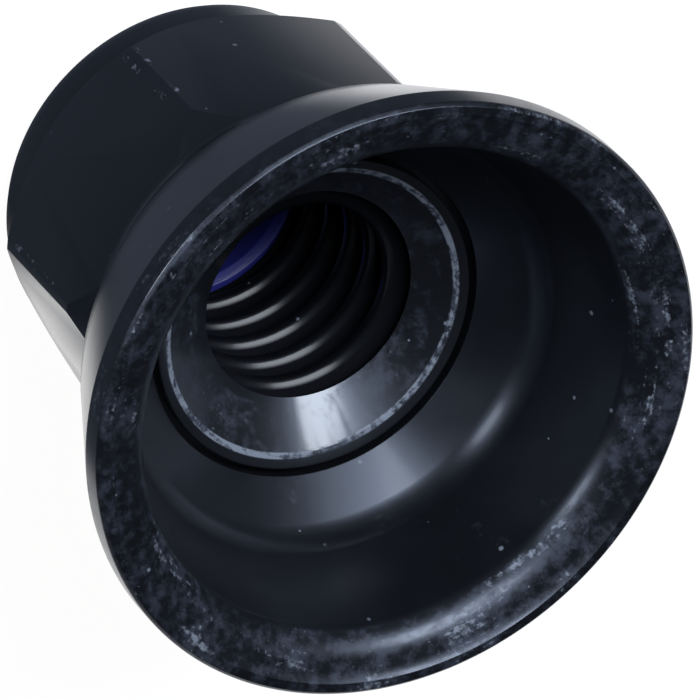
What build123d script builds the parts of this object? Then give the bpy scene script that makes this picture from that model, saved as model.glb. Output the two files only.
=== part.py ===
from build123d import *
from math import cos, radians, sqrt, tan
import os

# Self-locking bell flange nut. It stands on its head end, the axis is Z and the open bell is on top.
# Millimetres. The head end is at Z = 0. Angles are from the axis, and depths are from the rim.

# Thread, 5/16-18 UNC. The bore is left at the thread's minor diameter.
thread_diameter = 7.9375
thread_pitch = 1.4111
thread_lead_angle = 60.0

# Heights along the axis
collar_height = 1.75
hex_height = 7.0
bell_height = 7.75

# Hexagon. Its corners are trimmed to a narrow round land and chamfered at both ends.
across_flats = 12.7
corner_trim = 0.08
head_chamfer_angle = 36.0
flange_chamfer_angle = 27.0

# Collar that holds the locking ring behind its lip
collar_step = 0.13
collar_wall = 1.15
collar_round = 1.0
lip_overhang = 0.55
lip_thickness = 0.55
lip_chamfer = 0.15

# Locking ring, with a nose that fills the lip's opening
ring_interference = 1.05
ring_thickness = 0.9
ring_edge_chamfer = 0.2
nose_length = 0.4
nose_clearance = 0.1

# Outside of the bell, and the waist between it and the hexagon
flange_diameter = 20.2
rim_land_height = 0.9
rim_chamfer = 0.13
bell_taper_angle = 22.2
back_depth = 5.1
back_round = 0.35
waist_ledge = 0.4
waist_height = 0.3
waist_round = 0.5

# Inside of the bell: a bevelled rim, a sloped band, a steep wall, a conical floor and a groove round the boss
rim_width = 0.42
rim_bevel_angle = 54.0
rim_bevel_depth = 0.13
rim_slope_angle = 78.0
rim_slope_depth = 0.25
rim_slope_round = 1.2
floor_width = 1.64
floor_angle = 50.0
floor_round = 1.8
groove_width = 0.22

# Boss round the bore, with a sloped land and a countersink for the thread
boss_depth = 6.25
boss_height = 0.45
boss_land = 0.45
boss_land_angle = 70.0
countersink_width = 1.68
countersink_angle = 60.0

# Radii, from the thread outwards and from the hexagon and the flange inwards
thread_depth = sqrt(3) / 2 * 5 / 8 * thread_pitch
thread_radius = thread_diameter / 2
bore_radius = thread_radius - thread_depth
ring_bore_radius = (thread_diameter - ring_interference) / 2
countersink_radius = bore_radius + countersink_width
boss_radius = countersink_radius + boss_land
groove_radius = boss_radius + groove_width
wall_foot_radius = groove_radius + floor_width

flat_radius = across_flats / 2
corner_radius = flat_radius / cos(radians(30)) - corner_trim
waist_radius = flat_radius + waist_ledge
collar_radius = flat_radius - collar_step
ring_radius = collar_radius - collar_wall
lip_radius = ring_radius - lip_overhang
nose_radius = lip_radius - nose_clearance

# Levels along the axis
hex_top = collar_height + hex_height
rim_level = hex_top + bell_height
ring_top = lip_thickness + ring_thickness
lead_top = ring_top + thread_depth / tan(radians(thread_lead_angle))
head_chamfer_top = collar_height + (corner_radius - collar_radius) / tan(radians(head_chamfer_angle))
flange_chamfer_foot = hex_top - (corner_radius - waist_radius) / tan(radians(flange_chamfer_angle))
waist_top = hex_top + waist_height
back_level = rim_level - back_depth
land_level = rim_level - rim_land_height
rim_bevel_foot = rim_level - rim_bevel_depth
rim_slope_foot = rim_bevel_foot - rim_slope_depth
boss_level = rim_level - boss_depth
boss_top = boss_level + boss_land / tan(radians(boss_land_angle))
groove_level = boss_level - boss_height
wall_foot_level = boss_top + floor_width / tan(radians(floor_angle))
bore_top = boss_level - countersink_width / tan(radians(countersink_angle))

# Radii of the bell that follow from those levels
flange_radius = flange_diameter / 2
back_radius = flange_radius - (land_level - back_level) * tan(radians(bell_taper_angle))
rim_inner_radius = flange_radius - rim_width
slope_top_radius = rim_inner_radius - rim_bevel_depth * tan(radians(rim_bevel_angle))
wall_top_radius = slope_top_radius - rim_slope_depth * tan(radians(rim_slope_angle))

# Half section of the steel body: each corner with the radius of its round, and 0 where it is sharp
section_corners = [
    ((lip_radius, lip_chamfer), 0),
    ((lip_radius + lip_chamfer, 0), 0),
    ((collar_radius, 0), collar_round),
    ((collar_radius, collar_height), 0),
    ((corner_radius, head_chamfer_top), 0),
    ((corner_radius, flange_chamfer_foot), 0),
    ((waist_radius, hex_top), 0),
    ((waist_radius, waist_top), waist_round),
    ((back_radius, back_level), back_round),
    ((flange_radius, land_level), 0),
    ((flange_radius, rim_level - rim_chamfer), 0),
    ((flange_radius - rim_chamfer, rim_level), 0),
    ((rim_inner_radius, rim_level), 0),
    ((slope_top_radius, rim_bevel_foot), 0),
    ((wall_top_radius, rim_slope_foot), rim_slope_round),
    ((wall_foot_radius, wall_foot_level), floor_round),
    ((groove_radius, boss_top), 0),
    ((groove_radius, groove_level), 0),
    ((boss_radius, groove_level), 0),
    ((boss_radius, boss_top), 0),
    ((countersink_radius, boss_level), 0),
    ((bore_radius, bore_top), 0),
    ((bore_radius, lead_top), 0),
    ((thread_radius, ring_top), 0),
    ((ring_radius, ring_top), 0),
    ((ring_radius, lip_thickness), 0),
    ((lip_radius, lip_thickness), 0),
]

# Steel body: turned from the half section, then the six flats are cut
with BuildPart() as nut_body:
    with BuildSketch(Plane.XZ):
        with BuildLine():
            FilletPolyline(
                [point for point, rounding in section_corners],
                radius=[rounding for point, rounding in section_corners],
                close=True,
            )
        make_face()
    revolve(axis=Axis.Z)
    with BuildSketch(Plane.XY.offset(collar_height)):
        Circle(flange_radius)
        RegularPolygon(flat_radius, 6, major_radius=False, mode=Mode.SUBTRACT)
    extrude(amount=hex_height, mode=Mode.SUBTRACT)

# Locking ring: it fills the groove behind the collar's lip, and its nose stands in the lip's opening
with BuildPart() as locking_ring:
    with BuildSketch(Plane.XY.offset(lip_thickness)):
        Circle(ring_radius)
        Circle(ring_bore_radius, mode=Mode.SUBTRACT)
    extrude(amount=ring_thickness)
    bore_edges = locking_ring.edges().filter_by(GeomType.CIRCLE).sort_by(SortBy.RADIUS)[:2]
    chamfer(bore_edges.sort_by(Axis.Z)[-1], ring_edge_chamfer)
    with BuildSketch(Plane.XY.offset(lip_thickness)):
        Circle(nose_radius)
        Circle(ring_bore_radius, mode=Mode.SUBTRACT)
    extrude(amount=-nose_length)

nut_body.part.label = "nut_body"
locking_ring.part.label = "locking_ring"

os.makedirs("parts", exist_ok=True)
export_step(nut_body.part, "parts/nut_body.step")
export_step(locking_ring.part, "parts/locking_ring.step")
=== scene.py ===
"""Looks of a self-locking bell flange nut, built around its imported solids.

The nut is one steel body with a black coat and one blue nylon locking ring held in its collar.
The part stands on its head end, with the thread's axis on +Z and the open bell on top.
Sizes are in millimetres, and every mesh is brought to metres when its modelling is done.
"""

import logging
import math
from dataclasses import dataclass, field
from enum import Enum
from typing import Union

import bmesh
import bpy
from mathutils import Matrix, Vector


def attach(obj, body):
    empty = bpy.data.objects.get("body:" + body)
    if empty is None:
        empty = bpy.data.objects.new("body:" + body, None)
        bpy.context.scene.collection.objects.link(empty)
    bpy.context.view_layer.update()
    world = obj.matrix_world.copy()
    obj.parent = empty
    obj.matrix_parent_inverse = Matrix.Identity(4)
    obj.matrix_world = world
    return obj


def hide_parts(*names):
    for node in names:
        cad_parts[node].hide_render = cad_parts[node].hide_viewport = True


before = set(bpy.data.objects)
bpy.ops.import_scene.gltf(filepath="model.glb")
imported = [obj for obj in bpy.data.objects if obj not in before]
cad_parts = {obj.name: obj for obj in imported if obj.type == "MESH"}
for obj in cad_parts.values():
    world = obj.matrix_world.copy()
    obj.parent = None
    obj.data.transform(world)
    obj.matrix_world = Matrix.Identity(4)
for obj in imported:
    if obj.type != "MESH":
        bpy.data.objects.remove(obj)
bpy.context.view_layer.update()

LOG = logging.getLogger("bell_flange_nut")
MM = 0.001  # a millimetre in metres
WELD_MM = 0.0005  # corners of a turned mesh closer than this are one corner
CUT_WELD_MM = 0.002  # the same, for corners that a cut leaves
SIDES = 6  # sides of the hexagon

Colour = tuple[float, float, float]
Node = bpy.types.Node
Socket = bpy.types.NodeSocket
Source = Union[Socket, float, tuple[float, ...]]


class Surface(Enum):
    """Material places on the steel body's mesh, by index."""

    BELL = 0
    HEXAGON = 1
    THREAD = 2


class Kind(Enum):
    """Kinds of socket on a shader group."""

    FLOAT = "NodeSocketFloat"
    VECTOR = "NodeSocketVector"


@dataclass(frozen=True)
class Corner:
    """One corner of a turned half section.

    Attributes:
        radius: distance from the axis.
        level: height above the head end.
        round: radius of the corner's round, or zero for a sharp corner.
    """

    radius: float
    level: float
    round: float = 0.0


# ---------------------------------------------------------------- mesh tools


def tangent_length(before: Corner, corner: Corner, after: Corner) -> float:
    """Distance from a corner to where its round starts.

    Args:
        before: the corner before it in the section.
        corner: the corner that is rounded.
        after: the corner after it.

    Returns:
        The tangent length in millimetres.
    """
    here = Vector((corner.radius, corner.level))
    back = Vector((before.radius, before.level)) - here
    on = Vector((after.radius, after.level)) - here
    turn = math.pi - back.angle(on)
    return corner.round * math.tan(turn / 2)


def turned_mesh(corners: list[Corner], steps: int, round_steps: int) -> bmesh.types.BMesh:
    """Turns a closed half section round the axis.

    Args:
        corners: the section's corners in order.
        steps: divisions of the full turn.
        round_steps: divisions of each round.

    Returns:
        A closed bmesh in millimetres with its faces outwards.
    """
    shape = bmesh.new()
    points = [shape.verts.new((corner.radius, 0, corner.level)) for corner in corners]
    section = shape.faces.new(points)
    count = len(corners)
    for index, corner in enumerate(corners):
        if corner.round > 0:
            reach = tangent_length(corners[index - 1], corner, corners[(index + 1) % count])
            bmesh.ops.bevel(
                shape,
                geom=[points[index]],
                offset=reach,
                offset_type="OFFSET",
                segments=round_steps,
                profile=0.5,
                affect="VERTICES",
                material=-1,
            )
    shape.faces.ensure_lookup_table()
    bmesh.ops.delete(shape, geom=list(shape.faces), context="FACES_ONLY")
    bmesh.ops.spin(
        shape,
        geom=list(shape.verts) + list(shape.edges),
        cent=(0, 0, 0),
        axis=(0, 0, 1),
        dvec=(0, 0, 0),
        angle=math.tau,
        steps=steps,
        use_merge=True,
    )
    bmesh.ops.remove_doubles(shape, verts=shape.verts, dist=WELD_MM)
    bmesh.ops.recalc_face_normals(shape, faces=shape.faces)
    return shape


def to_object(shape: bmesh.types.BMesh, name: str) -> bpy.types.Object:
    """Links a bmesh to the scene as a new object and frees it.

    Args:
        shape: the finished bmesh.
        name: name of the object and its mesh.

    Returns:
        The new object.
    """
    mesh = bpy.data.meshes.new(name)
    shape.to_mesh(mesh)
    shape.free()
    made = bpy.data.objects.new(name, mesh)
    bpy.context.scene.collection.objects.link(made)
    return made


def cut(target: bpy.types.Object, tool: bpy.types.Object) -> None:
    """Cuts one solid out of another and removes the tool.

    Args:
        target: the object that is cut.
        tool: the solid that is taken away.
    """
    knife = target.modifiers.new("cut", "BOOLEAN")
    knife.operation = "DIFFERENCE"
    knife.solver = "EXACT"
    knife.object = tool
    settle(target)
    bpy.data.objects.remove(tool)


def add_slots(target: bpy.types.Object) -> None:
    """Gives an object one empty material slot for each surface.

    Args:
        target: the object that gets the slots.
    """
    for _ in Surface:
        target.data.materials.append(None)


def to_tool(shape: bmesh.types.BMesh, name: str, surface: Surface) -> bpy.types.Object:
    """Makes a cutting tool, whose faces leave one surface on what it cuts.

    Args:
        shape: the tool's closed bmesh.
        name: name of the object and its mesh.
        surface: the surface that the cut leaves.

    Returns:
        The tool as an object.
    """
    bmesh.ops.recalc_face_normals(shape, faces=shape.faces)
    for face in shape.faces:
        face.material_index = surface.value
    tool = to_object(shape, name)
    add_slots(tool)
    return tool


def settle(target: bpy.types.Object) -> None:
    """Turns an object's live modifiers into its own mesh.

    Args:
        target: the object whose modifiers are applied.
    """
    graph = bpy.context.evaluated_depsgraph_get()
    settled = bpy.data.meshes.new_from_object(target.evaluated_get(graph))
    target.modifiers.clear()
    target.data = settled


def finish_mesh(target: bpy.types.Object, crease: float) -> None:
    """Brings a mesh to metres and shades it smooth between its creases.

    Args:
        target: the object whose mesh is finished.
        crease: the angle in degrees above which an edge stays sharp.
    """
    target.data.transform(Matrix.Scale(MM, 4))
    target.data.shade_smooth()
    target.data.set_sharp_from_angle(angle=math.radians(crease))


# ------------------------------------------------------------ shader groups


@dataclass(frozen=True)
class Grain:
    """One noise pattern.

    Attributes:
        scale: size of the pattern, as cells in a millimetre.
        detail: number of finer layers.
        rough: strength of the finer layers.
    """

    scale: float
    detail: float
    rough: float = 0.5


class Wiring:
    """Short calls for placing and joining nodes in one node tree."""

    def __init__(self, tree: bpy.types.NodeTree) -> None:
        """Keeps the tree that the calls work on."""
        self.tree = tree

    def node(self, kind: str, **values: object) -> Node:
        """Adds a node.

        Args:
            kind: the node's type name.
            values: attributes of the node to set.

        Returns:
            The new node.
        """
        made = self.tree.nodes.new(kind)
        for name, value in values.items():
            setattr(made, name, value)
        return made

    def feed(self, socket: Socket, value: Source) -> None:
        """Links a socket from another, or sets its value.

        Args:
            socket: the input that is fed.
            value: an output to link from, or a plain value.
        """
        if isinstance(value, bpy.types.NodeSocket):
            self.tree.links.new(value, socket)
        else:
            socket.default_value = value

    def maths(self, operation: str, *values: Source) -> Socket:
        """Places a Math node.

        Args:
            operation: the node's operation.
            values: its inputs in order, as sockets or numbers.

        Returns:
            The node's output.
        """
        made = self.node("ShaderNodeMath", operation=operation)
        for socket, value in zip(made.inputs, values):
            self.feed(socket, value)
        return made.outputs[0]

    def vector(self, operation: str, *values: Source, output: str = "Vector") -> Socket:
        """Places a Vector Math node.

        Args:
            operation: the node's operation.
            values: its inputs in order, as sockets or vectors.
            output: name of the output that is wanted.

        Returns:
            That output of the node.
        """
        made = self.node("ShaderNodeVectorMath", operation=operation)
        for socket, value in zip(made.inputs, values):
            self.feed(socket, value)
        return made.outputs[output]

    def scale(self, vector: Socket, factor: Source) -> Socket:
        """Multiplies a vector by a number.

        Args:
            vector: the vector.
            factor: the number.

        Returns:
            The scaled vector.
        """
        made = self.node("ShaderNodeVectorMath", operation="SCALE")
        self.feed(made.inputs["Vector"], vector)
        self.feed(made.inputs["Scale"], factor)
        return made.outputs["Vector"]

    def ramp(self, value: Socket, low: Source, high: Source) -> Socket:
        """Places a smooth step.

        Args:
            value: the value that is stepped.
            low: where the step starts to rise from 0.
            high: where the step reaches 1.

        Returns:
            The stepped value.
        """
        made = self.node("ShaderNodeMapRange", interpolation_type="SMOOTHSTEP")
        self.feed(made.inputs["Value"], value)
        self.feed(made.inputs["From Min"], low)
        self.feed(made.inputs["From Max"], high)
        return made.outputs["Result"]

    def noise(self, vector: Socket, grain: Grain) -> Socket:
        """Places a Noise Texture.

        Args:
            vector: the coordinates that it reads, in millimetres.
            grain: the pattern.

        Returns:
            The noise's value.
        """
        made = self.node("ShaderNodeTexNoise")
        self.feed(made.inputs["Vector"], vector)
        self.feed(made.inputs["Scale"], grain.scale)
        self.feed(made.inputs["Detail"], grain.detail)
        self.feed(made.inputs["Roughness"], grain.rough)
        return made.outputs[0]

    def blend(self, share: Source, first: Source, second: Source) -> Socket:
        """Places a colour Mix node.

        Args:
            share: how much of the second colour is taken.
            first: the colour at 0.
            second: the colour at 1.

        Returns:
            The mixed colour.
        """
        made = self.node("ShaderNodeMix", data_type="RGBA")
        self.feed(made.inputs[0], share)
        self.feed(made.inputs[6], first)
        self.feed(made.inputs[7], second)
        return made.outputs[2]

    def group(self, tree: bpy.types.NodeTree, **values: Source) -> Node:
        """Places a shader group.

        Args:
            tree: the group.
            values: its inputs by name.

        Returns:
            The node that holds the group.
        """
        made = self.node("ShaderNodeGroup", node_tree=tree)
        for name, value in values.items():
            self.feed(made.inputs[name], value)
        return made

    def bump(self, height: Socket, strength: float, depth: float) -> Socket:
        """Places a Bump node.

        Args:
            height: the surface relief.
            strength: how strongly it shows.
            depth: depth of the relief in millimetres.

        Returns:
            The bumped normal.
        """
        made = self.node("ShaderNodeBump")
        self.feed(made.inputs["Strength"], strength)
        self.feed(made.inputs["Distance"], depth * MM)
        self.feed(made.inputs["Height"], height)
        return made.outputs["Normal"]


class EffectGroups:
    """Shader groups that the finishes share.

    Attributes:
        MOTTLE: rubbed mottling.
        CLUSTER: wide patches that gather the wear.
        DASHES: short marks along the turning.
        CRUMBS: fine breaks in those marks.
        CLUSTER_SHARE: how strongly the wear gathers in the patches.
        RUB_RANGE: how far a full rub lowers the level where mottling starts.
        RUB_FADE: width of the mottling's soft edge.
        DASH_SHARE: share of the dashes in a mark; the crumbs have the rest.
        MARK_START: level where marks start at no cover.
        MARK_RANGE: how far full cover lowers that level.
        MARK_FADE: width of a mark's soft edge.
        SPECK_RARITY: power that makes large specks rare.
        SPECK_CORE: share of a speck's size that is solid.
        SPECK_FADE: smallest width of a speck's soft edge.
    """

    MOTTLE = Grain(2.2, 5.0, 0.68)
    CLUSTER = Grain(0.42, 2.0)
    DASHES = Grain(3.4, 4.0, 0.6)
    CRUMBS = Grain(5.5, 3.0, 0.6)
    CLUSTER_SHARE = 0.5
    RUB_RANGE = 0.42
    RUB_FADE = 0.34
    DASH_SHARE = 0.55
    MARK_START = 1.02
    MARK_RANGE = 0.24
    MARK_FADE = 0.15
    SPECK_RARITY = 5.0
    SPECK_CORE = 0.45
    SPECK_FADE = 0.0001

    def __init__(self) -> None:
        """Makes each group once."""
        self.turned = self.make_turned()
        self.window = self.make_window()
        self.scuffs = self.make_scuffs()
        self.specks = self.make_specks()

    @staticmethod
    def start(
        name: str, inputs: dict[str, Kind], outputs: dict[str, Kind]
    ) -> tuple[Wiring, Node, Node]:
        """Makes an empty shader group.

        Args:
            name: the group's name.
            inputs: kinds of socket by input name.
            outputs: kinds of socket by output name.

        Returns:
            The wiring of the group, its input node and its output node.
        """
        tree = bpy.data.node_groups.new(name, "ShaderNodeTree")
        for title, kind in inputs.items():
            tree.interface.new_socket(title, in_out="INPUT", socket_type=kind.value)
        for title, kind in outputs.items():
            tree.interface.new_socket(title, in_out="OUTPUT", socket_type=kind.value)
        wiring = Wiring(tree)
        return wiring, wiring.node("NodeGroupInput"), wiring.node("NodeGroupOutput")

    def make_turned(self) -> bpy.types.NodeTree:
        """Makes the group that reads a turned surface's own coordinates.

        Returns:
            A group giving radius and height in millimetres, the place in millimetres, and the
            place along the turning marks, which changes fast across them and slowly along them.
        """
        wiring, given, result = self.start(
            "turned place",
            {"Vector": Kind.VECTOR, "Around": Kind.FLOAT},
            {
                "Radius": Kind.FLOAT,
                "Height": Kind.FLOAT,
                "Place": Kind.VECTOR,
                "Marks": Kind.VECTOR,
            },
        )
        place = wiring.scale(given.outputs["Vector"], 1 / MM)
        flat = wiring.vector("MULTIPLY", place, (1, 1, 0))
        radius = wiring.vector("LENGTH", flat, output="Value")
        parts = wiring.node("ShaderNodeSeparateXYZ")
        wiring.feed(parts.inputs[0], place)
        height = parts.outputs["Z"]
        turn = wiring.scale(wiring.vector("NORMALIZE", flat), given.outputs["Around"])
        across = wiring.node("ShaderNodeCombineXYZ")
        wiring.feed(across.inputs["X"], radius)
        wiring.feed(across.inputs["Y"], height)
        marks = wiring.vector("ADD", across.outputs[0], turn)
        found = {"Radius": radius, "Height": height, "Place": place, "Marks": marks}
        for name, value in found.items():
            wiring.feed(result.inputs[name], value)
        return wiring.tree

    def make_window(self) -> bpy.types.NodeTree:
        """Makes the group that keeps a range of values.

        Returns:
            A group giving 1 between two values and fading out beyond them.
        """
        wiring, given, result = self.start(
            "window",
            {name: Kind.FLOAT for name in ("Value", "Low", "High", "Fade")},
            {"Mask": Kind.FLOAT},
        )
        value, low, high, fade = (given.outputs[name] for name in ("Value", "Low", "High", "Fade"))
        rise = wiring.ramp(value, wiring.maths("SUBTRACT", low, fade), low)
        fall = wiring.ramp(value, high, wiring.maths("ADD", high, fade))
        kept = wiring.maths("MULTIPLY", rise, wiring.maths("SUBTRACT", 1.0, fall))
        wiring.feed(result.inputs["Mask"], kept)
        return wiring.tree

    def make_scuffs(self) -> bpy.types.NodeTree:
        """Makes the group of rubbed patches and of the short light marks in them.

        Returns:
            A group giving a soft mottled rub and a sharper mask of marks.
        """
        wiring, given, result = self.start(
            "scuffs",
            {
                "Place": Kind.VECTOR,
                "Marks": Kind.VECTOR,
                "Rub": Kind.FLOAT,
                "Cover": Kind.FLOAT,
            },
            {"Rub": Kind.FLOAT, "Mask": Kind.FLOAT},
        )
        place = given.outputs["Place"]
        mottle = wiring.noise(place, self.MOTTLE)
        cluster = wiring.noise(place, self.CLUSTER)
        gathered = wiring.maths("MULTIPLY", cluster, self.CLUSTER_SHARE)
        rubbed = wiring.maths("ADD", mottle, gathered)
        lowered = wiring.maths("MULTIPLY", given.outputs["Rub"], self.RUB_RANGE)
        edge = wiring.maths("SUBTRACT", 1.0, lowered)
        rub = wiring.ramp(rubbed, edge, wiring.maths("ADD", edge, self.RUB_FADE))
        dashes = wiring.noise(given.outputs["Marks"], self.DASHES)
        crumbs = wiring.noise(place, self.CRUMBS)
        broken = wiring.maths("MULTIPLY", crumbs, 1 - self.DASH_SHARE)
        mixed = wiring.maths("MULTIPLY_ADD", dashes, self.DASH_SHARE, broken)
        mixed = wiring.maths("ADD", mixed, gathered)
        covered = wiring.maths("MULTIPLY", given.outputs["Cover"], self.MARK_RANGE)
        limit = wiring.maths("SUBTRACT", self.MARK_START, covered)
        mask = wiring.ramp(mixed, limit, wiring.maths("ADD", limit, self.MARK_FADE))
        wiring.feed(result.inputs["Rub"], rub)
        wiring.feed(result.inputs["Mask"], mask)
        return wiring.tree

    def make_specks(self) -> bpy.types.NodeTree:
        """Makes the group of small dust specks.

        Returns:
            A group giving a mask of separate specks of uneven size.
        """
        wiring, given, result = self.start(
            "specks",
            {"Place": Kind.VECTOR, "Scale": Kind.FLOAT, "Size": Kind.FLOAT},
            {"Mask": Kind.FLOAT},
        )
        cells = wiring.node("ShaderNodeTexVoronoi")
        wiring.feed(cells.inputs["Vector"], given.outputs["Place"])
        wiring.feed(cells.inputs["Scale"], given.outputs["Scale"])
        pick = wiring.node("ShaderNodeSeparateColor")
        wiring.feed(pick.inputs[0], cells.outputs["Color"])
        rare = wiring.maths("POWER", pick.outputs[0], self.SPECK_RARITY)
        reach = wiring.maths("MULTIPLY", rare, given.outputs["Size"])
        inner = wiring.maths("MULTIPLY", reach, self.SPECK_CORE)
        outer = wiring.maths("ADD", reach, self.SPECK_FADE)
        away = wiring.ramp(cells.outputs["Distance"], inner, outer)
        wiring.feed(result.inputs["Mask"], wiring.maths("SUBTRACT", 1.0, away))
        return wiring.tree


# ------------------------------------------------------------------ finishes


@dataclass(frozen=True)
class WornZone:
    """A ring of the surface where handling has rubbed the coating.

    Attributes:
        low: lowest height.
        high: greatest height.
        inner: smallest radius.
        outer: largest radius.
        rub: how far the coating is rubbed dull; past 1 hardly any of it stays sound.
        cover: how much of the ring has light marks; past 1 they run together.
        fade: width over which the ring fades out.
        bare: share of the clear top layer that the whole ring has lost.
    """

    low: float
    high: float
    inner: float
    outer: float
    rub: float
    cover: float
    fade: float = 0.25
    bare: float = 0.0

    def mask(self, wiring: Wiring, groups: EffectGroups, turned: Node) -> Socket:
        """Places the mask of the zone.

        Args:
            wiring: the material's wiring.
            groups: the shared shader groups.
            turned: the placed group of turned coordinates.

        Returns:
            A mask that is 1 in the ring and fades out round it.
        """
        limits = {"Height": (self.low, self.high), "Radius": (self.inner, self.outer)}
        windows = [
            wiring.group(
                groups.window, Value=turned.outputs[name], Low=low, High=high, Fade=self.fade
            )
            for name, (low, high) in limits.items()
        ]
        return wiring.maths("MULTIPLY", *(window.outputs["Mask"] for window in windows))


@dataclass(frozen=True)
class BlackCoat:
    """Black coating on the steel, with rubbed zones, dust and faint turning marks.

    Attributes:
        name: the material's name.
        coat: colour of the sound coating.
        rubbed: colour where the coating is rubbed dull.
        worn: colour of the light marks, where the coating is scraped; along the hexagon's corner
            edges these marks are also a painted highlight for the edges' glint.
        gloss: roughness of the sound coating.
        dull: roughness of a rubbed place.
        shine: specular level of the coating.
        reflection: tint of the coating's reflections.
        lacquer: weight of the clear top layer.
        lacquer_gloss: roughness of the clear top layer.
        marks: depth of the turning marks.
        zones: where the coating is rubbed.
        dust: size of the dust specks.
        dust_spread: specks in a millimetre.
        dust_shade: how light a speck is, as a share of a light mark.
        crest: radius beyond which a thread's flanks are dull, or zero for no thread.
        crest_fade: width over which they turn dull.
        around: how fast the turning marks change along their length.
        cloud: slow unevenness of the coating.
        cloud_gain: how much lighter the coating gets in a cloud.
        unevenness: how much rougher it gets there.
        turning: pattern of the turning marks.
        skin: pattern of the coating's skin.
        skin_share: weight of the skin in the relief, where the turning marks weigh 1.
        scuff_share: weight of scuffs and dust in the relief.
        relief_strength: how strongly the relief shows.
    """

    name: str
    coat: Colour = (0.0028, 0.0031, 0.0042)
    rubbed: Colour = (0.022, 0.0255, 0.038)
    worn: Colour = (0.17, 0.19, 0.235)
    gloss: float = 0.32
    dull: float = 0.55
    shine: float = 0.5
    reflection: Colour = (0.72, 0.8, 1.0)
    lacquer: float = 1.0
    lacquer_gloss: float = 0.14
    marks: float = 0.0016
    zones: tuple[WornZone, ...] = ()
    dust: float = 0.14
    dust_spread: float = 1.25
    dust_shade: float = 0.75
    crest: float = 0.0
    crest_fade: float = 0.12
    around: float = 0.9
    cloud: Grain = Grain(0.53, 3.0)
    cloud_gain: float = 1.7
    unevenness: float = 0.12
    turning: Grain = Grain(7.0, 3.0, 0.55)
    skin: Grain = Grain(4.5, 3.0, 0.55)
    skin_share: float = 0.7
    scuff_share: float = 0.5
    relief_strength: float = 0.5

    def make(self, groups: EffectGroups) -> bpy.types.Material:
        """Builds the material.

        Args:
            groups: the shared shader groups.

        Returns:
            The material.
        """
        material = bpy.data.materials.new(self.name)
        material.use_nodes = True
        wiring = Wiring(material.node_tree)
        shader = material.node_tree.nodes["Principled BSDF"]
        object_place = wiring.node("ShaderNodeTexCoord").outputs["Object"]
        turned = wiring.group(groups.turned, Vector=object_place, Around=self.around)
        place = turned.outputs["Place"]
        rub, scrape, bare = self.wear(wiring, groups, turned)
        specks = wiring.group(groups.specks, Place=place, Scale=self.dust_spread, Size=self.dust)
        dust = wiring.maths("MULTIPLY", specks.outputs["Mask"], self.dust_shade)
        pale = wiring.maths("MAXIMUM", scrape, dust)
        dulled = wiring.maths("MAXIMUM", rub, pale)
        if self.crest:
            flank = wiring.ramp(turned.outputs["Radius"], self.crest, self.crest + self.crest_fade)
            dulled = wiring.maths("MAXIMUM", dulled, flank)
        cloud = wiring.noise(place, self.cloud)
        clouded = (*(self.cloud_gain * part for part in self.coat), 1)
        tint = wiring.blend(cloud, (*self.coat, 1), clouded)
        tint = wiring.blend(rub, tint, (*self.rubbed, 1))
        wiring.feed(shader.inputs["Base Color"], wiring.blend(pale, tint, (*self.worn, 1)))
        smoothest = self.gloss - self.unevenness / 2
        uneven = wiring.maths("MULTIPLY_ADD", cloud, self.unevenness, smoothest)
        share = wiring.maths("MULTIPLY", dulled, self.dull - self.gloss)
        wiring.feed(shader.inputs["Roughness"], wiring.maths("ADD", uneven, share))
        shader.inputs["Specular IOR Level"].default_value = self.shine
        shader.inputs["Specular Tint"].default_value = (*self.reflection, 1)
        shader.inputs["Coat Roughness"].default_value = self.lacquer_gloss
        sound = wiring.maths("SUBTRACT", 1.0, wiring.maths("MAXIMUM", dulled, bare))
        wiring.feed(shader.inputs["Coat Weight"], wiring.maths("MULTIPLY", sound, self.lacquer))
        wiring.feed(shader.inputs["Normal"], self.relief(wiring, turned, pale))
        return material

    def wear(
        self, wiring: Wiring, groups: EffectGroups, turned: Node
    ) -> tuple[Socket, Socket, Socket]:
        """Joins the wear of every zone.

        Args:
            wiring: the material's wiring.
            groups: the shared shader groups.
            turned: the placed group of turned coordinates.

        Returns:
            The masks of rubbed coating, of light marks and of the lost top layer.
        """
        masks: list[Source] = [0.0, 0.0, 0.0]
        for zone in self.zones:
            ring = zone.mask(wiring, groups, turned)
            scuffs = wiring.group(
                groups.scuffs,
                Place=turned.outputs["Place"],
                Marks=turned.outputs["Marks"],
                Rub=zone.rub,
                Cover=zone.cover,
            )
            added = (scuffs.outputs["Rub"], scuffs.outputs["Mask"], zone.bare)
            masks = [
                wiring.maths("MAXIMUM", mask, wiring.maths("MULTIPLY", ring, part))
                for mask, part in zip(masks, added)
            ]
        rub, scrape, bare = (wiring.maths("MAXIMUM", mask, 0.0) for mask in masks)
        return rub, scrape, bare

    def relief(self, wiring: Wiring, turned: Node, pale: Socket) -> Socket:
        """Builds the surface relief of marks, coating grain and scuffs.

        Args:
            wiring: the material's wiring.
            turned: the placed group of turned coordinates.
            pale: mask of scuffs and dust.

        Returns:
            The bumped normal.
        """
        marks = wiring.noise(turned.outputs["Marks"], self.turning)
        grain = wiring.noise(turned.outputs["Place"], self.skin)
        height = wiring.maths("MULTIPLY_ADD", grain, self.skin_share, marks)
        height = wiring.maths("MULTIPLY_ADD", pale, self.scuff_share, height)
        return wiring.bump(height, self.relief_strength, self.marks)


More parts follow.
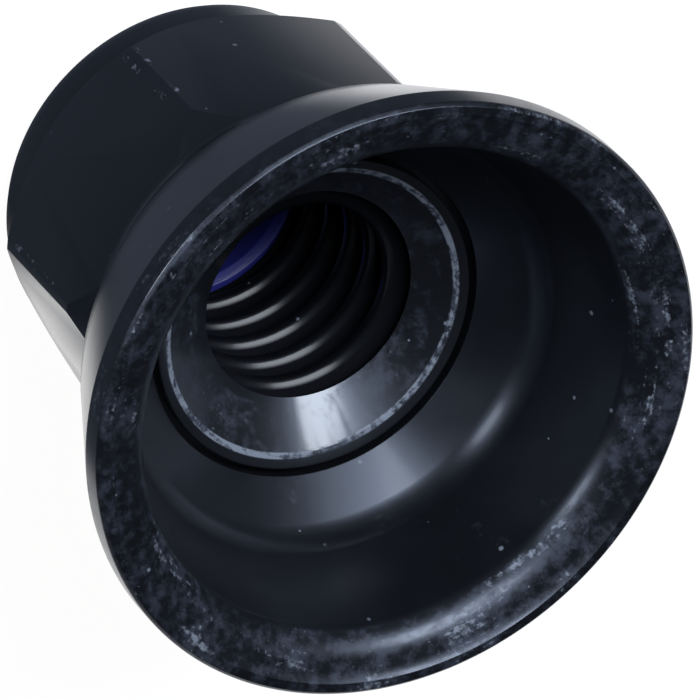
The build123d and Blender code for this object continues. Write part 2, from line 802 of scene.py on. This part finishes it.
@dataclass(frozen=True)
class BlueNylon:
    """Moulded blue nylon with a soft satin skin.

    Attributes:
        name: the material's name.
        colour: the deeper blue.
        pale: the paler blue, in the streaks of its flow.
        gloss: its mean roughness.
        around: how fast the streaks change along their length.
        flow: pattern of the streaks.
        skin: pattern of its skin.
        unevenness: range of its roughness.
        relief: depth of the skin's pattern.
        relief_strength: how strongly the relief shows.
    """

    name: str = "blue_nylon"
    colour: Colour = (0.018, 0.021, 0.16)
    pale: Colour = (0.03, 0.034, 0.26)
    gloss: float = 0.38
    around: float = 0.38
    flow: Grain = Grain(1.7, 3.0)
    skin: Grain = Grain(9.0, 3.0)
    unevenness: float = 0.2
    relief: float = 0.02
    relief_strength: float = 0.4

    def make(self, groups: EffectGroups) -> bpy.types.Material:
        """Builds the material.

        Args:
            groups: the shared shader groups.

        Returns:
            The material.
        """
        material = bpy.data.materials.new(self.name)
        material.use_nodes = True
        wiring = Wiring(material.node_tree)
        shader = material.node_tree.nodes["Principled BSDF"]
        object_place = wiring.node("ShaderNodeTexCoord").outputs["Object"]
        turned = wiring.group(groups.turned, Vector=object_place, Around=self.around)
        flow = wiring.noise(turned.outputs["Marks"], self.flow)
        skin = wiring.noise(turned.outputs["Place"], self.skin)
        tint = wiring.blend(flow, (*self.colour, 1), (*self.pale, 1))
        wiring.feed(shader.inputs["Base Color"], tint)
        smoothest = self.gloss - self.unevenness / 2
        uneven = wiring.maths("MULTIPLY_ADD", skin, self.unevenness, smoothest)
        wiring.feed(shader.inputs["Roughness"], uneven)
        bumped = wiring.bump(skin, self.relief_strength, self.relief)
        wiring.feed(shader.inputs["Normal"], bumped)
        return material


@dataclass(frozen=True)
class PaleFloor:
    """Matt white floor that reads as white and keeps a soft shadow.

    Attributes:
        name: the material's name.
        matt: colour of the matt surface.
        glow: colour added where the floor is seen, so that it reads as white.
        mirrored: level that the nut's gloss sees of the bright floor behind the nut.
        backdrop_way: direction towards the bright floor.
        backdrop_start: distance along it, in metres, where the floor starts to brighten.
        backdrop_full: distance along it, in metres, where the floor is at its brightest.
        covered: radius of the floor, in metres, that the nut stands on and keeps dark.
        covered_fade: width, in metres, over which that dark place ends.
    """

    name: str = "pale_floor"
    matt: Colour = (0.08, 0.09, 0.113)
    glow: Colour = (0.97, 0.965, 0.96)
    mirrored: float = 0.9
    backdrop_way: tuple[float, float, float] = (-0.974, -0.225, 0.0)
    backdrop_start: float = -0.0045
    backdrop_full: float = 0.0005
    covered: float = 0.0056
    covered_fade: float = 0.001

    def make(self) -> bpy.types.Material:
        """Builds the material.

        Returns:
            The material.
        """
        material = bpy.data.materials.new(self.name)
        material.use_nodes = True
        tree = material.node_tree
        tree.nodes.remove(tree.nodes["Principled BSDF"])
        wiring = Wiring(tree)
        matt = wiring.node("ShaderNodeBsdfDiffuse")
        matt.inputs["Color"].default_value = (*self.matt, 1)
        glow = wiring.node("ShaderNodeEmission")
        glow.inputs["Color"].default_value = (*self.glow, 1)
        rays = wiring.node("ShaderNodeLightPath").outputs
        seen = wiring.maths("MAXIMUM", rays["Is Camera Ray"], rays["Is Transmission Ray"])
        place = wiring.node("ShaderNodeTexCoord").outputs["Object"]
        along = wiring.vector("DOT_PRODUCT", place, self.backdrop_way, output="Value")
        behind = wiring.ramp(along, self.backdrop_start, self.backdrop_full)
        reach = wiring.vector("LENGTH", place, output="Value")
        clear = wiring.ramp(reach, self.covered, self.covered + self.covered_fade)
        mirrored = wiring.maths("MULTIPLY", wiring.maths("MULTIPLY", behind, clear), self.mirrored)
        level = wiring.maths("MULTIPLY_ADD", rays["Is Glossy Ray"], mirrored, seen)
        wiring.feed(glow.inputs["Strength"], level)
        both = wiring.node("ShaderNodeAddShader")
        wiring.feed(both.inputs[0], matt.outputs[0])
        wiring.feed(both.inputs[1], glow.outputs[0])
        wiring.feed(tree.nodes["Material Output"].inputs["Surface"], both.outputs[0])
        return material


# -------------------------------------------------------------------- pieces


SLOPE = WornZone(
    low=15.75, high=16.6, inner=8.1, outer=10.0, rub=0.85, cover=0.8, fade=0.15, bare=0.9
)
RIM = WornZone(low=15.7, high=16.4, inner=10.0, outer=10.3, rub=0.5, cover=0.6, fade=0.15)
COUNTERSINK = WornZone(low=9.3, high=10.3, inner=3.6, outer=4.85, rub=0.68, cover=0.45, fade=0.12)
BOSS_EDGE = WornZone(
    low=10.15, high=10.4, inner=4.85, outer=4.99, rub=1.2, cover=1.45, fade=0.045
)
WALL_AND_FLOOR = WornZone(
    low=10.3, high=15.7, inner=5.6, outer=8.4, rub=0.3, cover=0.1, fade=0.3, bare=0.85
)
# Light marks along the hexagon's corner edges: wear, and also a painted highlight standing in for
# the glint on those edges.
HEXAGON_CORNER_WEAR_AND_GLINT = WornZone(
    low=3.1, high=6.6, inner=7.18, outer=7.4, rub=0.3, cover=0.95, fade=0.03
)


@dataclass
class SteelBody:
    """The nut's steel: collar, hexagon, waist, hollow bell, boss and thread.

    Attributes:
        across_flats: spanner size.
        flats_foot: level where the flats start.
        flats_top: level where the flats end.
        edge_break: width of the break along the hexagon's edges.
        edge_steps: divisions of that break.
        edge_margin: distance from the flats' ends within which no edge is broken.
        edge_reach: share of the spanner size; edges nearer the axis than this aren't broken.
        edge_angle: angle in degrees above which an edge is broken.
        thread_diameter: largest diameter of the thread.
        thread_pitch: distance between turns.
        thread_flank: angle in degrees between a flank and the plane across the axis.
        bore_radius: radius at the thread's crests.
        crest_rows: distance of each row of a crest's round outside the bore, and the distance
            at which a straight flank is as wide as that row.
        mouth_rows: distance of each row of the tool inside the bore, and its half width as a
            share of the pitch.
        thread_foot: level where the thread tool starts, in the open ring groove.
        thread_top: level where the thread tool ends, in the open countersink.
        thread_start: angle in degrees at which the thread tool starts.
        thread_steps: divisions of one turn of the thread.
        steps: divisions of the turned body.
        round_steps: divisions of each round in the section.
        crease: angle in degrees above which an edge stays sharp.
        bell_zones: where the turned surfaces are rubbed.
        corner_wear_and_glint_zones: where the hexagon is rubbed; the light marks along its corner
            edges are also a painted highlight for the edges' glint.
        section: the turned half section, from the lip round the outside to the ring groove.
    """

    across_flats: float = 12.7
    flats_foot: float = 1.75
    flats_top: float = 8.75
    edge_break: float = 0.09
    edge_steps: int = 3
    edge_margin: float = 0.05
    edge_reach: float = 0.49
    edge_angle: float = 14.0
    thread_diameter: float = 7.9375
    thread_pitch: float = 1.4111
    thread_flank: float = 30.0
    bore_radius: float = 3.205
    crest_rows: tuple[tuple[float, float], ...] = ((0.12, 0.12), (0.04, 0.01))
    mouth_rows: tuple[tuple[float, float], ...] = ((0.02, 0.45), (0.1, 0.46))
    thread_foot: float = 1.0
    thread_top: float = 10.6
    thread_start: float = -72.0
    thread_steps: int = 120
    steps: int = 192
    round_steps: int = 5
    crease: float = 32.0
    bell_zones: tuple[WornZone, ...] = (SLOPE, RIM, COUNTERSINK, BOSS_EDGE, WALL_AND_FLOOR)
    corner_wear_and_glint_zones: tuple[WornZone, ...] = (HEXAGON_CORNER_WEAR_AND_GLINT,)
    section: list[Corner] = field(
        default_factory=lambda: [
            Corner(4.52, 0.15, 0.06),
            Corner(4.67, 0.0, 0.06),
            Corner(6.22, 0.0, 1.0),
            Corner(6.22, 1.75),
            Corner(7.252, 3.171, 0.1),
            Corner(7.252, 7.764, 0.1),
            Corner(6.75, 8.75, 0.05),
            Corner(6.75, 9.05, 0.5),
            Corner(8.386, 11.4, 0.35),
            Corner(10.095, 15.6, 0.2),
            Corner(10.095, 16.37, 0.09),
            Corner(9.97, 16.5, 0.07),
            Corner(9.68, 16.5, 0.02),
            Corner(9.501, 16.37, 0.9),
            Corner(8.325, 16.12, 1.2),
            Corner(7.195, 11.79, 1.8),
            Corner(5.555, 10.414, 0.04),
            Corner(5.555, 9.8),
            Corner(5.335, 9.8),
            Corner(5.335, 10.414, 0.06),
            Corner(4.885, 10.25, 0.05),
            Corner(3.205, 9.28),
            Corner(3.205, 1.891),
            Corner(3.969, 1.45),
            Corner(5.07, 1.45),
            Corner(5.07, 0.55),
            Corner(4.52, 0.55, 0.06),
        ]
    )

    def build(self, groups: EffectGroups) -> bpy.types.Object:
        """Builds, dresses and places the steel body.

        Args:
            groups: the shared shader groups.

        Returns:
            The finished piece.
        """
        turned = turned_mesh(self.section, self.steps, self.round_steps)
        body = to_object(turned, "steel_body")
        add_slots(body)
        cut(body, self.flats_tool())
        self.break_edges(body)
        cut(body, self.thread_tool())
        finish_mesh(body, self.crease)
        self.dress(body, groups)
        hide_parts("nut_body")
        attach(body, "root")
        return body

    def flats_tool(self) -> bpy.types.Object:
        """Makes the six-sided ring that cuts the flats.

        Returns:
            The tool as an object.
        """
        tool = bmesh.new()
        near = self.across_flats / 2 / math.cos(math.pi / SIDES)
        far = near * 2
        inner = bmesh.ops.create_circle(tool, radius=near, segments=SIDES)["verts"]
        outer = bmesh.ops.create_circle(tool, radius=far, segments=SIDES)["verts"]
        for loop in (inner, outer):
            bmesh.ops.rotate(tool, verts=loop, matrix=self.corner_turn(loop[0].co))
        ring = bmesh.ops.bridge_loops(tool, edges=list(tool.edges))["faces"]
        grown = bmesh.ops.extrude_face_region(tool, geom=ring)["geom"]
        raised = [part for part in grown if isinstance(part, bmesh.types.BMVert)]
        bmesh.ops.translate(tool, verts=tool.verts, vec=(0, 0, self.flats_foot))
        bmesh.ops.translate(tool, verts=raised, vec=(0, 0, self.flats_top - self.flats_foot))
        return to_tool(tool, "flats_tool", Surface.HEXAGON)

    @staticmethod
    def corner_turn(corner: Vector) -> Matrix:
        """Turn about the axis that puts a corner on +X."""
        return Matrix.Rotation(-math.atan2(corner.y, corner.x), 3, "Z")

    def break_edges(self, body: bpy.types.Object) -> None:
        """Breaks the sharp edges round the flats.

        Args:
            body: the steel body with its flats cut.
        """
        shape = bmesh.new()
        shape.from_mesh(body.data)
        bmesh.ops.remove_doubles(shape, verts=shape.verts, dist=CUT_WELD_MM)
        low, high = self.flats_foot + self.edge_margin, self.flats_top - self.edge_margin
        reach = self.across_flats * self.edge_reach
        limit = math.radians(self.edge_angle)
        sharp = []
        for edge in shape.edges:
            middle = (edge.verts[0].co + edge.verts[1].co) / 2
            outside = low < middle.z < high and middle.xy.length > reach
            if outside and edge.calc_face_angle(0.0) > limit:
                sharp.append(edge)
        bmesh.ops.bevel(
            shape,
            geom=sharp,
            offset=self.edge_break,
            offset_type="OFFSET",
            segments=self.edge_steps,
            profile=0.5,
            affect="EDGES",
            clamp_overlap=True,
            material=-1,
        )
        shape.to_mesh(body.data)
        shape.free()

    def thread_tool(self) -> bpy.types.Object:
        """Makes the right-hand helical ridge that cuts the thread.

        Returns:
            The tool as an object.
        """
        tool = bmesh.new()
        outer = self.thread_diameter / 2
        slope = math.tan(math.radians(self.thread_flank))
        root = self.thread_pitch / 8 / 2  # half of the flat root, an eighth of the pitch wide
        rows = [(outer, root)]
        for reach, level in self.crest_rows:
            half = root + (outer - self.bore_radius - level) * slope
            rows.append((self.bore_radius + reach, half))
        for reach, share in self.mouth_rows:
            rows.append((self.bore_radius - reach, self.thread_pitch * share))
        upper = [tool.verts.new((reach, 0, half)) for reach, half in rows]
        lower = [tool.verts.new((reach, 0, -half)) for reach, half in reversed(rows)]
        start = tool.faces.new(upper + lower)
        turns = (self.thread_top - self.thread_foot) / self.thread_pitch
        steps = round(turns * self.thread_steps)
        swept = bmesh.ops.spin(
            tool,
            geom=list(start.verts) + list(start.edges),
            cent=(0, 0, 0),
            axis=(0, 0, 1),
            dvec=(0, 0, self.thread_pitch / self.thread_steps),
            angle=math.tau * steps / self.thread_steps,
            steps=steps,
        )
        last = [part for part in swept["geom_last"] if isinstance(part, bmesh.types.BMEdge)]
        bmesh.ops.contextual_create(tool, geom=last)
        bmesh.ops.translate(tool, verts=tool.verts, vec=(0, 0, self.thread_foot))
        turn = Matrix.Rotation(math.radians(self.thread_start), 3, "Z")
        bmesh.ops.rotate(tool, verts=tool.verts, matrix=turn)
        return to_tool(tool, "thread_tool", Surface.THREAD)

    def dress(self, body: bpy.types.Object, groups: EffectGroups) -> None:
        """Gives each surface of the body its finish.

        Args:
            body: the finished mesh's object.
            groups: the shared shader groups.
        """
        finishes = {
            Surface.BELL: BlackCoat(
                "bell_coat", shine=0.6, lacquer=0.8, lacquer_gloss=0.12, zones=self.bell_zones
            ),
            # The hexagon's corner marks are partly a painted highlight for the corner edges'
            # glint.
            Surface.HEXAGON: BlackCoat("hexagon_coat", dust=0.19, zones=self.corner_wear_and_glint_zones),
            Surface.THREAD: BlackCoat(
                "thread_coat",
                gloss=0.4,
                dull=0.85,
                shine=0.06,
                lacquer=0.42,
                lacquer_gloss=0.2,
                dust=0.1,
                crest=3.37,
            ),
        }
        for surface in Surface:
            body.data.materials[surface.value] = finishes[surface].make(groups)


@dataclass
class LockingRing:
    """The nylon ring that grips the bolt.

    Attributes:
        steps: divisions of the full turn.
        round_steps: divisions of each round in the section.
        crease: angle in degrees above which an edge stays sharp.
        section: the turned half section, from the nose round the outside to the bore.
    """

    steps: int = 160
    round_steps: int = 4
    crease: float = 40.0
    section: list[Corner] = field(
        default_factory=lambda: [
            Corner(3.32, 0.08, 0.04),
            Corner(4.42, 0.08, 0.06),
            Corner(4.42, 0.55),
            Corner(5.07, 0.55),
            Corner(5.07, 1.45),
            Corner(3.55, 1.45, 0.06),
            Corner(3.32, 1.22, 0.06),
        ]
    )

    def build(self, groups: EffectGroups) -> bpy.types.Object:
        """Builds, dresses and places the ring.

        Args:
            groups: the shared shader groups.

        Returns:
            The finished piece.
        """
        turned = turned_mesh(self.section, self.steps, self.round_steps)
        ring = to_object(turned, "nylon_ring")
        finish_mesh(ring, self.crease)
        ring.data.materials.append(BlueNylon().make(groups))
        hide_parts("locking_ring")
        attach(ring, "root")
        return ring


# -------------------------------------------------------------------- studio


@dataclass(frozen=True)
class Softbox:
    """One soft lamp, aimed at the nut.

    Attributes:
        name: the lamp's name.
        azimuth: its direction round the axis, from +X towards +Y, in degrees.
        elevation: its height over the floor, in degrees.
        width: its width in metres.
        height: its height in metres.
        power: its power in watts.
        distance: its distance from the nut in metres.
        colour: colour of its light.
    """

    name: str
    azimuth: float
    elevation: float
    width: float
    height: float
    power: float
    distance: float = 0.5
    colour: Colour = (0.86, 0.93, 1.0)

    def place(self, aim: Vector) -> bpy.types.Object:
        """Puts the lamp in the scene.

        Args:
            aim: the point that it faces, in metres.

        Returns:
            The lamp.
        """
        data = bpy.data.lights.new(self.name, "AREA")
        data.shape = "RECTANGLE"
        data.size = self.width
        data.size_y = self.height
        data.energy = self.power
        data.color = self.colour
        lamp = bpy.data.objects.new(self.name, data)
        away = direction(self.azimuth, self.elevation)
        lamp.location = aim + away * self.distance
        lamp.rotation_euler = away.to_track_quat("Z", "Y").to_euler()
        bpy.context.scene.collection.objects.link(lamp)
        return lamp


def direction(azimuth: float, elevation: float) -> Vector:
    """Finds a unit direction.

    Args:
        azimuth: its angle round the axis, from +X towards +Y, in degrees.
        elevation: its angle over the floor, in degrees.

    Returns:
        The direction.
    """
    turn, rise = math.radians(azimuth), math.radians(elevation)
    return Vector(
        (math.cos(rise) * math.cos(turn), math.cos(rise) * math.sin(turn), math.sin(rise))
    )


@dataclass
class Studio:
    """Floor, lamps, world and camera.

    Attributes:
        aim_height: height of the point that the lamps and the camera face.
        aim_side: shift of the camera to its level side.
        camera_azimuth: the camera's direction round the axis, in degrees.
        camera_elevation: its height over the floor, in degrees.
        camera_distance: its distance from the point that it faces.
        camera_roll: its turn about its own axis, in degrees.
        lens: its focal length.
        sensor: its sensor's width.
        nearest: distance, in metres, where its view starts.
        farthest: distance, in metres, where its view ends.
        floor_half: half of the floor's width, in metres.
        world_level: strength of the world's light.
        world_colour: colour of the world's light.
        lamps: the soft lamps.
    """

    aim_height: float = 12.88
    aim_side: float = -0.042
    camera_azimuth: float = 12.63
    camera_elevation: float = 52.325
    camera_distance: float = 341.853
    camera_roll: float = 135.829
    lens: float = 571.12
    sensor: float = 36.0
    nearest: float = 0.01
    farthest: float = 20.0
    floor_half: float = 3.0
    world_level: float = 0.05
    world_colour: Colour = (0.8, 0.88, 1.0)
    lamps: tuple[Softbox, ...] = (
        Softbox("key_softbox", -35.0, 53.0, 0.36, 0.2, 3.3),
        Softbox("side_softbox", 33.0, 19.0, 0.16, 0.16, 0.9),
    )

    def build(self) -> None:
        """Sets up the whole studio."""
        self.lay_floor()
        aim = Vector((0, 0, self.aim_height * MM))
        for lamp in self.lamps:
            lamp.place(aim)
        self.light_world()
        self.place_camera(aim)

    def lay_floor(self) -> None:
        """Lays the floor under the nut's head."""
        slab = bmesh.new()
        bmesh.ops.create_grid(slab, x_segments=1, y_segments=1, size=self.floor_half)
        floor = to_object(slab, "floor")
        floor.data.materials.append(PaleFloor().make())

    def light_world(self) -> None:
        """Fills the shadows with an even pale world."""
        world = bpy.data.worlds.new("studio_world")
        world.use_nodes = True
        back = world.node_tree.nodes["Background"]
        back.inputs["Color"].default_value = (*self.world_colour, 1)
        back.inputs["Strength"].default_value = self.world_level
        bpy.context.scene.world = world

    def place_camera(self, aim: Vector) -> None:
        """Puts the camera at its angle and roll.

        Args:
            aim: the point at the middle of the view, in metres.
        """
        data = bpy.data.cameras.new("studio_camera")
        data.lens = self.lens
        data.sensor_width = self.sensor
        data.clip_start = self.nearest
        data.clip_end = self.farthest
        camera = bpy.data.objects.new("studio_camera", data)
        away = direction(self.camera_azimuth, self.camera_elevation)
        level = Vector((0, 0, 1)).cross(away).normalized()
        raised = away.cross(level)
        roll = math.radians(self.camera_roll)
        right = math.cos(roll) * level + math.sin(roll) * raised
        up = -math.sin(roll) * level + math.cos(roll) * raised
        turn = Matrix((right, up, away)).transposed()
        place = aim + (away * self.camera_distance + level * self.aim_side) * MM
        camera.matrix_world = Matrix.Translation(place) @ turn.to_4x4()
        bpy.context.scene.collection.objects.link(camera)
        bpy.context.scene.camera = camera


def main() -> None:
    """Builds the nut and its studio."""
    logging.basicConfig(level=logging.INFO, format="%(message)s")
    scene = bpy.context.scene
    scene.view_settings.view_transform = "Standard"
    groups = EffectGroups()
    for part in (SteelBody(), LockingRing()):
        piece = part.build(groups)
        LOG.info("%s: %d faces", piece.name, len(piece.data.polygons))
    Studio().build()
    LOG.info("studio: set")


if __name__ == "__main__":
    main()
